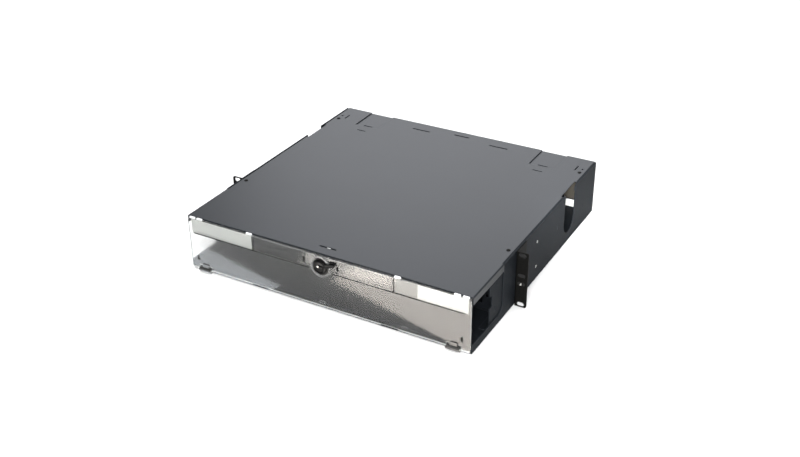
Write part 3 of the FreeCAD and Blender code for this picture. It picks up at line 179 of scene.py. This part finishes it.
def clear_polycarbonate(name, tint, rim):
    """Injection-moulded clear polycarbonate: slightly wavy, with fine rubs that blur what it mirrors.

    Its corners, its foot and its lugs are painted white and made less clear, both as frosted ground edges
    and as a painted highlight for the light they gather. The IOR is below the typical 1.58, because the real
    sheet mirrors more weakly.
    """
    material, tree, shader, place = new_material(name, IOR=1.42)
    wave = add_node(tree, "ShaderNodeTexNoise", place, {"Scale": pattern_scale(38), "Detail": 1.0})
    rubs = add_node(tree, "ShaderNodeTexNoise", place, {"Scale": pattern_scale(14), "Detail": 1.0})
    fold = add_node(tree, "ShaderNodeBevel", values={"Radius": 0.55 * MM}, samples=6)
    facing = add_node(tree, "ShaderNodeNewGeometry")
    turned_away = add_node(
        tree, "ShaderNodeVectorMath", {0: (fold, "Normal"), 1: (facing, "True Normal")},
        operation="DOT_PRODUCT")
    # Painted highlight: at the rounded rims, below the foot band and above the lug band, the colour turns to
    # the white rim colour.
    free_of_rim_highlight = add_node(
        tree, "ShaderNodeMapRange", {"Value": (turned_away, "Value")},
        {"From Min": 0.80, "From Max": 0.98, "To Min": 0.06, "To Max": 1.0})
    axes = add_node(tree, "ShaderNodeSeparateXYZ", place)
    below_lugs = add_node(
        tree, "ShaderNodeMapRange", {"Value": (axes, "Z")},
        {"From Min": HIGHLIT_LUGS_BEGIN[0] * MM, "From Max": HIGHLIT_LUGS_BEGIN[1] * MM, "To Min": 1.0, "To Max": 0.06})
    above_foot = add_node(
        tree, "ShaderNodeMapRange", {"Value": (axes, "Z")},
        {"From Min": HIGHLIT_FOOT_ENDS[0] * MM, "From Max": HIGHLIT_FOOT_ENDS[1] * MM, "To Min": 0.35, "To Max": 1.0})
    inner = add_node(
        tree, "ShaderNodeMath", {0: (above_foot, "Result"), 1: (below_lugs, "Result")}, operation="MINIMUM")
    clear = add_node(
        tree, "ShaderNodeMath", {0: (free_of_rim_highlight, "Result"), 1: (inner, "Value")}, operation="MINIMUM")
    colour = add_node(
        tree, "ShaderNodeMix", {"Factor": (clear, "Value")}, {6: linear(rim), 7: linear(tint)},
        data_type="RGBA")
    sheen = add_node(
        tree, "ShaderNodeMapRange", {"Value": (rubs, "Fac")},
        {"From Min": 0.35, "From Max": 0.8, "To Min": 0.17, "To Max": 0.19})
    relief = add_node(
        tree, "ShaderNodeBump", {"Height": (wave, "Fac")}, {"Strength": 0.4, "Distance": 0.3 * MM})
    feed(
        tree, shader, Base_Color=(colour, 2), Transmission_Weight=(clear, "Value"),
        Roughness=(sheen, "Result"), Normal=(relief, "Normal"))
    return material


def label_card(name, dark, light):
    """Coated label card: an even colour with faint paper fibres and a dull surface.

    The fibres are drawn about 0.6 mm thick and longer along X, coarser than real ones, so that they show.
    """
    material, tree, shader, place = new_material(name, IOR=1.45)
    lay = add_node(tree, "ShaderNodeMapping", place, {"Scale": (0.4, 1.0, 1.0)})
    fibre = add_node(
        tree, "ShaderNodeTexNoise", {"Vector": (lay, "Vector")},
        {"Scale": pattern_scale(0.6), "Detail": 4.0})
    colour = add_node(
        tree, "ShaderNodeMix", {"Factor": (fibre, "Fac")}, {6: linear(dark), 7: linear(light)},
        data_type="RGBA")
    sheen = add_node(tree, "ShaderNodeMapRange", {"Value": (fibre, "Fac")}, {"To Min": 0.45, "To Max": 0.65})
    relief = add_node(
        tree, "ShaderNodeBump", {"Height": (fibre, "Fac")}, {"Strength": 0.2, "Distance": 0.01 * MM})
    feed(tree, shader, Base_Color=(colour, 2), Roughness=(sheen, "Result"), Normal=(relief, "Normal"))
    return material


charcoal_coat = powder_coat(
    "charcoal_powder_coat", "#1B1E21", "#202327", "#50555A", smoothest=0.34, roughest=0.46, gloss=0.24)
# Painted shade: a darker, less glossy copy of the same charcoal coat for the pan, the rear cover and the
# other coated steel, so that they look darker than the top cover.
shaded_coat = powder_coat(
    "charcoal_powder_coat_shaded_copy", "#181B1E", "#1D2024", "#50555A", smoothest=0.5, roughest=0.64, gloss=0.05)
black_coat = powder_coat(
    "black_powder_coat", "#0F0F0E", "#141413", "#3A3A38", smoothest=0.5, roughest=0.64, gloss=0.05)
zinc = zinc_plate("bright_zinc_plate", "#C2C8CE", "#D0CBBB")
polycarbonate = clear_polycarbonate("clear_moulded_polycarbonate", "#ECEDEB", "#EEF0F0")
black_abs = moulded_plastic(
    "black_moulded_abs", "#070707", "#0D0D0D", smoothest=0.3, roughest=0.42, grain_mm=0.5, gloss=0.3)
polished_abs = moulded_plastic(
    "polished_black_abs", "#040404", "#070707", smoothest=0.1, roughest=0.16, grain_mm=1.2, gloss=0.08)
smoke_abs = moulded_plastic(
    "smoke_grey_abs", "#2E2E2D", "#383837", smoothest=0.25, roughest=0.35, grain_mm=0.5, gloss=0.4)
grey_card = label_card("grey_label_card", "#D8D9D7", "#E2E3E1")
deep_grey_card = label_card("deep_grey_label_card", "#737472", "#7C7D7B")
olive_painted_light_card = label_card("olive_painted_light_card", "#403C35", "#48443C")
white_card = label_card("white_write_on_card", "#ECECEA", "#F7F7F5")

LOOKS = {
    "powder_coated_steel": shaded_coat, "black_coated_steel": black_coat, "zinc_plated_steel": zinc,
    "clear_plastic": polycarbonate, "black_plastic": black_abs, "label_grey": grey_card,
    "label_white": white_card}
OWN_LOOKS = {
    "top_cover": charcoal_coat, "label_right": deep_grey_card, "hinge_leaf_left": smoke_abs,
    "hinge_leaf_right": smoke_abs, "hinge_clip_left": smoke_abs, "hinge_clip_right": smoke_abs}
for part in frame["record"]["subparts"]:
    node = frame["nodes"][part["node"]]
    for material_slot in node.material_slots:
        material_slot.material = OWN_LOOKS.get(part["node"], LOOKS[part["material_slot"]])


# Shapes worked out on grids. They are described in millimetres and made in metres.

CORNER_POINTS = 10
SHARP_EDGE = math.radians(40)

# For each way that a top can face: the two directions across its axis, and the axis.
FACING = {
    "up": ((1, 0, 0), (0, 1, 0), (0, 0, 1)), "right": ((0, 1, 0), (0, 0, 1), (1, 0, 0)),
    "left": ((0, -1, 0), (0, 0, 1), (-1, 0, 0)), "front": ((1, 0, 0), (0, 0, 1), (0, -1, 0)),
    "rear": ((-1, 0, 0), (0, 0, 1), (0, 1, 0))}


def set_down(points, facing, place):
    """Points turned so that their top faces as named, moved to the place, and given in metres."""
    return (points @ np.array(FACING[facing], dtype=float) + np.array(place, dtype=float)) * MM


def walls_between(index, below):
    """Four-sided faces from each ring of point numbers to the ring below it, all the way round."""
    after, below_after = np.roll(index, -1, axis=1), np.roll(below, -1, axis=1)
    return np.stack([index, below, below_after, after], axis=-1).reshape(-1, 4).tolist()


def turned(profile, segments, facing, place, relief=None, top_rings=0):
    """A closed turned shape. Each profile point (distance from the axis, height) becomes a ring of points.

    Its first and last points lie on the axis and close it. relief gives the height that is added to the pole
    and to the first top_rings rings, from their two distances across the axis.
    """
    profile = np.array(profile, dtype=float)
    angle = np.arange(segments) * (2 * math.pi / segments)
    reach = profile[1:-1, 0:1]
    across = reach * np.cos(angle)
    upward = reach * np.sin(angle)
    height = np.repeat(profile[1:-1, 1:2], segments, axis=1)
    top = profile[0, 1]
    if relief:
        height[:top_rings] += relief(across[:top_rings], upward[:top_rings])
        top += float(relief(np.zeros(1), np.zeros(1))[0])
    points = np.stack([across, upward, height], axis=-1).reshape(-1, 3)
    points = np.vstack([points, [(0, 0, top), (0, 0, profile[-1, 1])]])
    rings = len(profile) - 2
    index = np.arange(rings * segments).reshape(rings, segments)
    after = np.roll(index, -1, axis=1)
    pole = rings * segments
    cap = np.stack([np.full(segments, pole), index[0], after[0]], axis=-1)
    base = np.stack([after[-1], index[-1], np.full(segments, pole + 1)], axis=-1)
    walls = walls_between(index[:-1], index[1:])
    return set_down(points, facing, place), walls + cap.tolist() + base.tolist()


def rounded_bar(half_length, half_width, radius):
    """A function that gives a bar's outline, drawn in by an inset: quarter circles and straight sides."""
    def outline(inset):
        bend = max(radius - inset, 0.01)
        turn = np.linspace(0, math.pi / 2, CORNER_POINTS)
        corners = []
        for quarter, (sx, sy) in enumerate(((1, 1), (-1, 1), (-1, -1), (1, -1))):
            angle = turn + quarter * math.pi / 2
            corners.append(np.column_stack([
                sx * (half_length - inset - bend) + bend * np.cos(angle),
                sy * (half_width - inset - bend) + bend * np.sin(angle)]))
        return np.vstack(corners)
    return outline


def plate(outline, profile, facing, place, tilt=0, middle=(0, 0), hollow=False):
    """A closed plate. Each profile point (inset, height) is one ring of the outline, from the top down.

    The outline moves to middle and then turns by tilt degrees about the place. A hollow plate is a frame:
    its last ring joins its first one.
    """
    rings = [
        np.column_stack([outline(inset) + middle, np.full(len(outline(0)), height)])
        for inset, height in profile]
    points = np.vstack(rings)
    lean = math.radians(tilt)
    points[:, :2] = points[:, :2] @ np.array(
        ((math.cos(lean), math.sin(lean)), (-math.sin(lean), math.cos(lean))))
    points = set_down(points, facing, place)
    index = np.arange(len(points)).reshape(len(rings), len(rings[0]))
    if hollow:
        return points, walls_between(index, np.roll(index, -1, axis=0))
    return points, walls_between(index[:-1], index[1:]) + [index[0].tolist(), index[-1][::-1].tolist()]


def new_piece(name, shapes, body, material, replaced=()):
    """One object from several closed shapes, smooth except at its sharp edges, riding on a body."""
    points = np.vstack([shape[0] for shape in shapes])
    starts = np.cumsum([0] + [len(shape[0]) for shape in shapes[:-1]])
    faces = [
        [corner + int(start) for corner in face]
        for start, shape in zip(starts, shapes) for face in shape[1]]
    mesh = bpy.data.meshes.new(name)
    mesh.from_pydata(points.tolist(), [], faces)
    mesh.polygons.foreach_set("use_smooth", np.ones(len(faces), dtype=bool))
    mesh.set_sharp_from_angle(angle=SHARP_EDGE)
    mesh.materials.append(material)
    item = bpy.data.objects.new(name, mesh)
    bpy.context.scene.collection.objects.link(item)
    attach(item, body)
    if replaced:
        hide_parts(*replaced)


def ramp(value):
    """Rises smoothly from 0 to 1 as value goes from 0 to 1."""
    value = np.clip(value, 0, 1)
    return value * value * (3 - 2 * value)


# Where things are, in millimetres: +X to the right, +Y to the rear, +Z up

SIDES = {"left": -1, "right": 1}
SCREW_LEVELS = (22, 62)
COVER_TOP = 86
DOOR_FRONT = -133
LATCH_LEVEL = 67.2
KNOB_SEAT = (0, -134.3, LATCH_LEVEL)
PAWL_REAR = -121.4
REAR_LIP_FRONT = 297
REAR_COVER_FRONT = 298.5
REAR_COVER_BACK = 300
COVER_SCREW_X, COVER_SCREW_Y = 213.5, (-5.5, 253.5)
REAR_SCREW_X = 215.5
EAR_SCREW_X, EAR_SCREW_Y = 224.1, 15
SPARE_HOLE_X, SPARE_HOLE_Y = 223.45, 72


# Screws

SHANK_RADIUS = 1.96
HEAD_SEGMENTS, CROWN_RINGS = 40, 14

# Shares of a screw head's height, and shares of its radius. The recess is as deep as the smaller one allows.
CROWN_FALL, RIM_HEIGHT, DEEPEST_BY_HEIGHT = 0.35, 0.5, 0.8
CROWN_REACH, RECESS_REACH, DEEPEST_BY_RADIUS = 0.97, 0.62, 0.45


def cross_recess(reach, depth):
    """The relief of a cross drive: two crossed channels of this depth that run out at the reach."""
    half_width, flank, run_out = 0.3 * reach, 0.16 * reach, 0.35 * reach

    def relief(u, v):
        narrow = np.minimum(abs(u), abs(v))
        far = np.maximum(abs(u), abs(v))
        return -depth * (ramp((half_width - narrow) / flank) * ramp((reach - far) / run_out))
    return relief


def cross_screw(facing, place, radius, height, shank, length):
    """A low domed head with a cross drive, a bevelled rim and its shank. The place is where the head rests.

    The crown falls with the fourth power of the distance from the axis.
    """
    share = np.linspace(0, 1, CROWN_RINGS + 1)[1:]
    crown = height * (1 - CROWN_FALL * share ** 4)
    profile = [(0, height)] + list(zip(radius * CROWN_REACH * share, crown)) + [
        (radius, height * RIM_HEIGHT), (radius, 0), (shank, 0), (shank, -length), (0, -length)]
    recess = cross_recess(radius * RECESS_REACH, min(height * DEEPEST_BY_HEIGHT, radius * DEEPEST_BY_RADIUS))
    return turned(profile, HEAD_SEGMENTS, facing, place, recess, CROWN_RINGS)


new_piece(
    "cover_screw_heads",
    [cross_screw(
        "up", (COVER_SCREW_X * side, y, COVER_TOP),
        radius=2.8, height=0.8, shank=SHANK_RADIUS, length=4.7)
     for side in SIDES.values() for y in COVER_SCREW_Y],
    "chassis", black_coat, ("cover_screws",))
new_piece(
    "rear_screw_heads",
    [cross_screw(
        "rear", (REAR_SCREW_X * side, REAR_COVER_BACK, z),
        radius=4, height=2.4, shank=SHANK_RADIUS, length=5)
     for side in SIDES.values() for z in SCREW_LEVELS],
    "chassis", black_coat, ("rear_cover_screws",))
for name, side in SIDES.items():
    new_piece(
        f"ear_screw_heads_{name}",
        [cross_screw(
            name, (EAR_SCREW_X * side, EAR_SCREW_Y, z),
            radius=4, height=1, shank=SHANK_RADIUS, length=4.1)
         for z in SCREW_LEVELS],
        "chassis", zinc, (f"ear_screws_{name}",))
new_piece(
    "pawl_screw_head",
    [cross_screw("rear", (0, PAWL_REAR, LATCH_LEVEL), radius=4.5, height=1.2, shank=2, length=0.02)],
    "latch", zinc, ("pawl_screw",))


# Threaded inserts of the spare ear holes

THREAD_TURNS, THREAD_DEPTH = 6, 0.22
SLEEVE_SEGMENTS = 32


def threaded_sleeve(facing, place, radius, bore, length):
    """A sleeve open to the outside: a rim round a bore whose wall steps in and out as a thread does."""
    floor = -length + 0.1
    depths = np.linspace(0.15, length - 0.3, THREAD_TURNS * 2)
    thread = [(bore + THREAD_DEPTH * (step % 2), -depth) for step, depth in enumerate(depths)]
    profile = [(0, floor), (bore, floor)] + thread[::-1] + [
        (bore + 0.1, -0.02), (radius - 0.12, 0), (radius, -0.1), (radius, -length), (0, -length)]
    return turned(profile, SLEEVE_SEGMENTS, facing, place)


new_piece(
    "spare_hole_inserts",
    [threaded_sleeve(name, (SPARE_HOLE_X * side, SPARE_HOLE_Y, z), radius=2.15, bore=1.25, length=1.9)
     for name, side in SIDES.items() for z in SCREW_LEVELS],
    "chassis", zinc)


# Latch knob

# Half of the thumb bar's straight length, the radius of its ends, the width of its flank, its height, and
# the share of the height that its crown falls by.
BAR_HALF, BAR_END, BAR_FLANK, BAR_HEIGHT, BAR_CROWN = 3.4, 3.1, 0.8, 1.5, 0.16
RING_RADIUS, RING_HALF_WIDTH, RING_HEIGHT = 8.7, 1.5, 1.3
KNOB_RADIUS, KNOB_FOOT_RADIUS, KNOB_HEIGHT, KNOB_EDGE = 10.8, 10.5, 1.8, 0.5
KNOB_SEGMENTS, FACE_RINGS = 120, 60


def knob_relief(u, v):
    """The relief of the knob's face: a short raised bar with round ends inside a rounded ring.

    The bar is highest along its middle and falls off with the square of the distance from it. The ring's
    section is half an ellipse. The higher of the two counts.
    """
    past_ends = np.maximum(abs(u) - BAR_HALF, 0)
    to_edge = BAR_END - np.sqrt(past_ends ** 2 + v ** 2)
    bar = BAR_HEIGHT * ramp(to_edge / BAR_FLANK) * (1 - BAR_CROWN * (v / BAR_END) ** 2)
    from_ring = (np.sqrt(u ** 2 + v ** 2) - RING_RADIUS) / RING_HALF_WIDTH
    return np.maximum(bar, RING_HEIGHT * np.sqrt(np.clip(1 - from_ring ** 2, 0, 1)))


flat_radius = KNOB_RADIUS - KNOB_EDGE
face_rings = [(flat_radius * share, KNOB_HEIGHT) for share in np.linspace(0, 1, FACE_RINGS + 1)[1:]]
rim = [
    (flat_radius + KNOB_EDGE * math.sin(angle), KNOB_HEIGHT - KNOB_EDGE + KNOB_EDGE * math.cos(angle))
    for angle in np.radians((30, 60, 90))]
knob_profile = [(0, KNOB_HEIGHT)] + face_rings + rim + [
    (KNOB_RADIUS, 0.25), (KNOB_FOOT_RADIUS, 0), (0, 0)]
lever_section = [(0.9, 2.6), (0.35, 2.45), (0.1, 2.2), (0, 1.9), (0, 1.3), (0.3, 0.95)]
new_piece(
    "latch_knob_face",
    [turned(knob_profile, KNOB_SEGMENTS, "front", KNOB_SEAT, knob_relief, FACE_RINGS),
     plate(rounded_bar(9, 3.1, 3.09), lever_section, "front", KNOB_SEAT, tilt=20, middle=(16.3, 0.6))],
    "latch", polished_abs, ("latch_knob",))

# The rivet's head is the cap of a ball whose middle lies this far below the head's seat.
BALL_RADIUS, BALL_SUNK, RIVET_SEGMENTS = 1.9, 1.15, 32
rivet = [(0, BALL_RADIUS - BALL_SUNK)] + [
    (BALL_RADIUS * math.sin(angle), BALL_RADIUS * math.cos(angle) - BALL_SUNK)
    for angle in np.radians((8, 18, 28, 38, 46, 52))] + [(1.5, -0.4), (0, -0.4)]
new_piece(
    "knob_rivet", [turned(rivet, RIVET_SEGMENTS, "front", (-2.2, -137.5, 68.6))],
    "latch", zinc)


# A white label, and an olive card of painted light, on the inner rear wall

# Sections of flat pieces are points of inset and height, from the top down.
CARD = [(0.05, 0.15), (0, 0.1), (0, 0)]
new_piece(
    "inner_rear_label",
    [plate(rounded_bar(7.2, 6.2, 0.6), CARD, "front", (186.6, REAR_LIP_FRONT, 7.6))],
    "chassis", white_card)
# Painted light: the olive card stands for light falling on the coated inner rear wall above the label.
new_piece(
    "inner_rear_painted_light_card",
    [plate(rounded_bar(10, 14.6, 0.6), CARD, "front", (186, REAR_COVER_FRONT, 29.2))],
    "chassis", olive_painted_light_card)


# Dark lines and fills on the door: painted shade

LINE = [(0.08, 0.2), (0, 0.12), (0, 0)]
SHADE_FILL = [(0.3, 0.25), (0, 0.1), (0, 0)]
BAND_MIDDLE, BAND_FOOT, BAND_END = 71.6, 60.5, 111.3
FOOT_LINE = 3.4
# Painted shade: thin dark strips stand for the shadow lines along the clear steps of the label band and for
# the dark line at the door's foot.
new_piece(
    "door_band_shade_lines",
    [plate(rounded_bar(97.5, 0.75, 0.4), LINE, "front", (115.5 * side, DOOR_FRONT, BAND_FOOT))
     for side in SIDES.values()]
    + [plate(rounded_bar(0.65, 10.6, 0.4), LINE, "front", (BAND_END * side, DOOR_FRONT, BAND_MIDDLE))
       for side in SIDES.values()]
    + [plate(rounded_bar(186, 0.4, 0.3), LINE, "front", (0, DOOR_FRONT, FOOT_LINE))],
    "door", black_coat)
# Painted shade: dark fills put in the door's slots stand for the shade inside them.
new_piece(
    "door_slot_shade_fills",
    [plate(rounded_bar(1.75, 4.1, 1.7), SHADE_FILL, "front", (x * side, DOOR_FRONT, z))
     for side in SIDES.values() for x, z in ((26.5, 71.2), (209.5, 20.8))],
    "door", black_coat)


# Slots of the cover

# Half lengths of the slots, and where they are. Dark rims laid round them are painted shade that makes the
# slots read darker and wider.
COVER_SLOTS = [(13, 0, -114), (13, 0, 286), (15.5, -69, 276.5), (15.5, 69, 276.5)]
SLOT_SHADE_RIM = [(0, -0.02), (0, 0.03), (-0.45, 0.03), (-0.5, -0.02)]
TONGUE = [(0.3, 0), (0, -0.2), (0, -1.2)]
# Painted shade: dark rims round the cover's slots.
new_piece(
    "cover_slot_shade_rims",
    [plate(rounded_bar(half + 0.05, 1.05, 1), SLOT_SHADE_RIM, "up", (x, y, COVER_TOP), hollow=True)
     for half, x, y in COVER_SLOTS],
    "chassis", black_coat)
new_piece(
    "cover_slot_tongue",
    [plate(rounded_bar(3, 0.75, 0.7), TONGUE, "up", (1.6, -114.2, 86.05))],
    "chassis", zinc)


# Studio, in metres

FLOOR_SIZE = 14.0
FLOOR_LEVEL = -0.6 * MM


def pale_sheet(name):
    """Matt paper sweep: near white, with the faint unevenness of heavy paper, about 3 mm wide."""
    material, tree, shader, place = new_material(name, IOR=1.45)
    tooth = add_node(tree, "ShaderNodeTexNoise", place, {"Scale": pattern_scale(3), "Detail": 3.0})
    colour = add_node(
        tree, "ShaderNodeMix", {"Factor": (tooth, "Fac")}, {6: linear("#F6F6F6"), 7: linear("#FAFAFA")},
        data_type="RGBA")
    sheen = add_node(tree, "ShaderNodeMapRange", {"Value": (tooth, "Fac")}, {"To Min": 0.85, "To Max": 0.95})
    feed(tree, shader, Base_Color=(colour, 2), Roughness=(sheen, "Result"))
    return material


def flat_sheet(name, size, height, material):
    """A level square of this size at this height."""
    half = size / 2
    mesh = bpy.data.meshes.new(name)
    mesh.from_pydata(
        [(-half, -half, height), (half, -half, height), (half, half, height), (-half, half, height)], [],
        [(0, 1, 2, 3)])
    mesh.materials.append(material)
    item = bpy.data.objects.new(name, mesh)
    bpy.context.scene.collection.objects.link(item)
    return item


flat_sheet("floor", FLOOR_SIZE, FLOOR_LEVEL, pale_sheet("pale_paper"))

world = bpy.data.worlds.new("studio")
bpy.context.scene.world = world
world.use_nodes = True
world.node_tree.nodes["Background"].inputs["Color"].default_value = linear("#FFFFFF")
world.node_tree.nodes["Background"].inputs["Strength"].default_value = 0.35
bpy.context.scene.view_settings.view_transform = "Standard"


def softbox(name, place, aim, width, height, power, spread=180, spin=0, colour="#FFFFFF"):
    """A rectangular soft light at place that points at aim, turned by spin degrees about its own axis."""
    light = bpy.data.lights.new(name, "AREA")
    light.shape = "RECTANGLE"
    light.size = width
    light.size_y = height
    light.energy = power
    light.spread = math.radians(spread)
    light.color = linear(colour)[:3]
    item = bpy.data.objects.new(name, light)
    bpy.context.scene.collection.objects.link(item)
    item.location = place
    toward = (Vector(aim) - Vector(place)).to_track_quat("-Z", "Y")
    item.rotation_euler = (toward @ Quaternion((0, 0, 1), math.radians(spin))).to_euler()
    return item


softbox("overhead_softbox", (0.1, 0.0, 2.6), (0.1, 0.0, 0), width=2.6, height=2.6, power=64)
softbox(
    "back_softbox", (-1.05, 2.3, 1.5), (0, 0.1, 0.05), width=1.8, height=1.5, power=38, colour="#F7F9FF")
softbox("key_softbox", (0.75, -1.4, 0.95), (0.1, 0, 0.03), width=0.6, height=0.6, power=34)
softbox(
    "opening_light", (0.36, -0.21, 0.235), (0.19, 0.297, 0.02), width=0.05, height=0.05, power=0.075,
    spread=20)

# Sheets of light just over the floor, which the door mirrors: place, size, power, spin and colour.
FLOOR_LIGHTS = {
    "front_floor_light": ((0.130, -0.222, -0.0003), (0.3, 0.12), 1.02, -14.5, "#FFF6EC"),
    "band_floor_light": ((-0.025, -0.243, -0.0002), (0.15, 0.036), 0.17, 0, "#FFFAF2"),
    "left_floor_light": ((-0.172, -0.151, -0.0003), (0.17, 0.04), 0.116, -11.8, "#F4FAFF")}
for name, (place, (width, height), power, spin, colour) in FLOOR_LIGHTS.items():
    sheet = softbox(name, place, (place[0], place[1], 1), width, height, power, spin=spin, colour=colour)
    sheet.visible_diffuse = False
    sheet.visible_transmission = False


# Camera at the photograph's place

CAMERA_PLACE = Vector((0.692585, -1.141077, 0.817157))
AZIMUTH, ELEVATION, ROLL = (math.radians(a) for a in (29.53526, 29.637, -0.57202))
FOCAL_PX = 1078.605
PHOTO_WIDTH_PX = 800
SENSOR_MM = 36

camera = bpy.data.cameras.new("photo_camera")
camera.sensor_width = SENSOR_MM
camera.lens = FOCAL_PX / PHOTO_WIDTH_PX * SENSOR_MM
eye = bpy.data.objects.new("photo_camera", camera)
bpy.context.scene.collection.objects.link(eye)
back = Vector((
    math.sin(AZIMUTH) * math.cos(ELEVATION), -math.cos(AZIMUTH) * math.cos(ELEVATION), math.sin(ELEVATION)))
level = Vector((math.cos(AZIMUTH), math.sin(AZIMUTH), 0))
rise = back.cross(level)
right = level * math.cos(ROLL) + rise * math.sin(ROLL)
up = rise * math.cos(ROLL) - level * math.sin(ROLL)
turn = Matrix((right, up, back)).transposed().to_4x4()
eye.matrix_world = Matrix.Translation(CAMERA_PLACE) @ turn
bpy.context.scene.camera = eye
